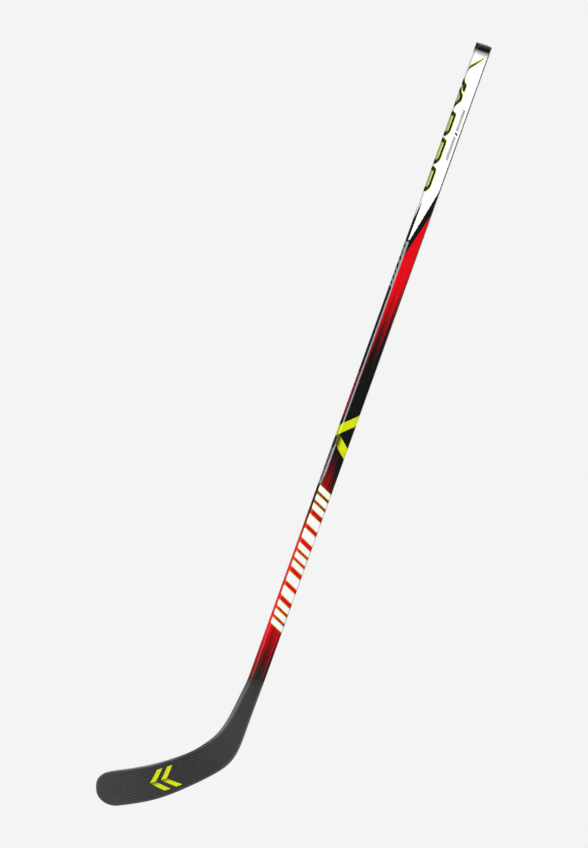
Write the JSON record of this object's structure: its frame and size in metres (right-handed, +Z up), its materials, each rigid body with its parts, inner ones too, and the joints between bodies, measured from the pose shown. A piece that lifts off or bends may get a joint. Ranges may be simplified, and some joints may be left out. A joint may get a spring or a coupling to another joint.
{
  "type": "ice hockey stick",
  "caption": "Youth ice hockey stick with a hollow rectangular composite shaft, a fused hosel and a curved foam-cored blade.",
  "frame": {"origin": "centre of the flat end face of the plug at the butt end", "axes": "+Z runs up the shaft and out of the butt end; the blade is at the bottom and points to -X; -Y is the backhand side, +Y the hollow forehand side"},
  "size_m": [0.1909, 0.0247, 1.2785],
  "materials": {
    "end_plug": "moulded matt black",
    "plug_adhesive": "hot-melt adhesive, translucent amber",
    "shaft_outer_wrap": "printed composite wrap under gloss clear coat",
    "shaft_inner_tube": "cured composite plies",
    "tenon_adhesive": "cured epoxy",
    "tenon_block": "dense structural foam",
    "hosel_sleeve": "cured composite plies",
    "front_face_laminate": "woven composite, satin",
    "back_face_laminate": "woven composite, satin",
    "top_edge_wrap": "moulded composite edge, satin",
    "bottom_edge_wrap": "moulded composite edge, satin",
    "front_inner_ply": "cured composite ply",
    "back_inner_ply": "cured composite ply",
    "heel_insert": "dense moulded insert",
    "core_rib": "cured composite rib",
    "upper_foam_core": "closed-cell foam",
    "lower_foam_core": "closed-cell foam"
  },
  "bodies": {
    "root": {"end_plug": "end_plug", "plug_adhesive": "plug_adhesive", "shaft_outer_wrap": "shaft_outer_wrap", "shaft_inner_tube": "shaft_inner_tube", "tenon_adhesive": "tenon_adhesive", "tenon_block": "tenon_block", "hosel_sleeve": "hosel_sleeve", "front_face_laminate": "front_face_laminate", "back_face_laminate": "back_face_laminate", "top_edge_wrap": "top_edge_wrap", "bottom_edge_wrap": "bottom_edge_wrap", "front_inner_ply": "front_inner_ply", "back_inner_ply": "back_inner_ply", "heel_insert": "heel_insert", "core_rib": "core_rib", "upper_foam_core": "upper_foam_core", "lower_foam_core": "lower_foam_core"}
  },
  "joints": []
}
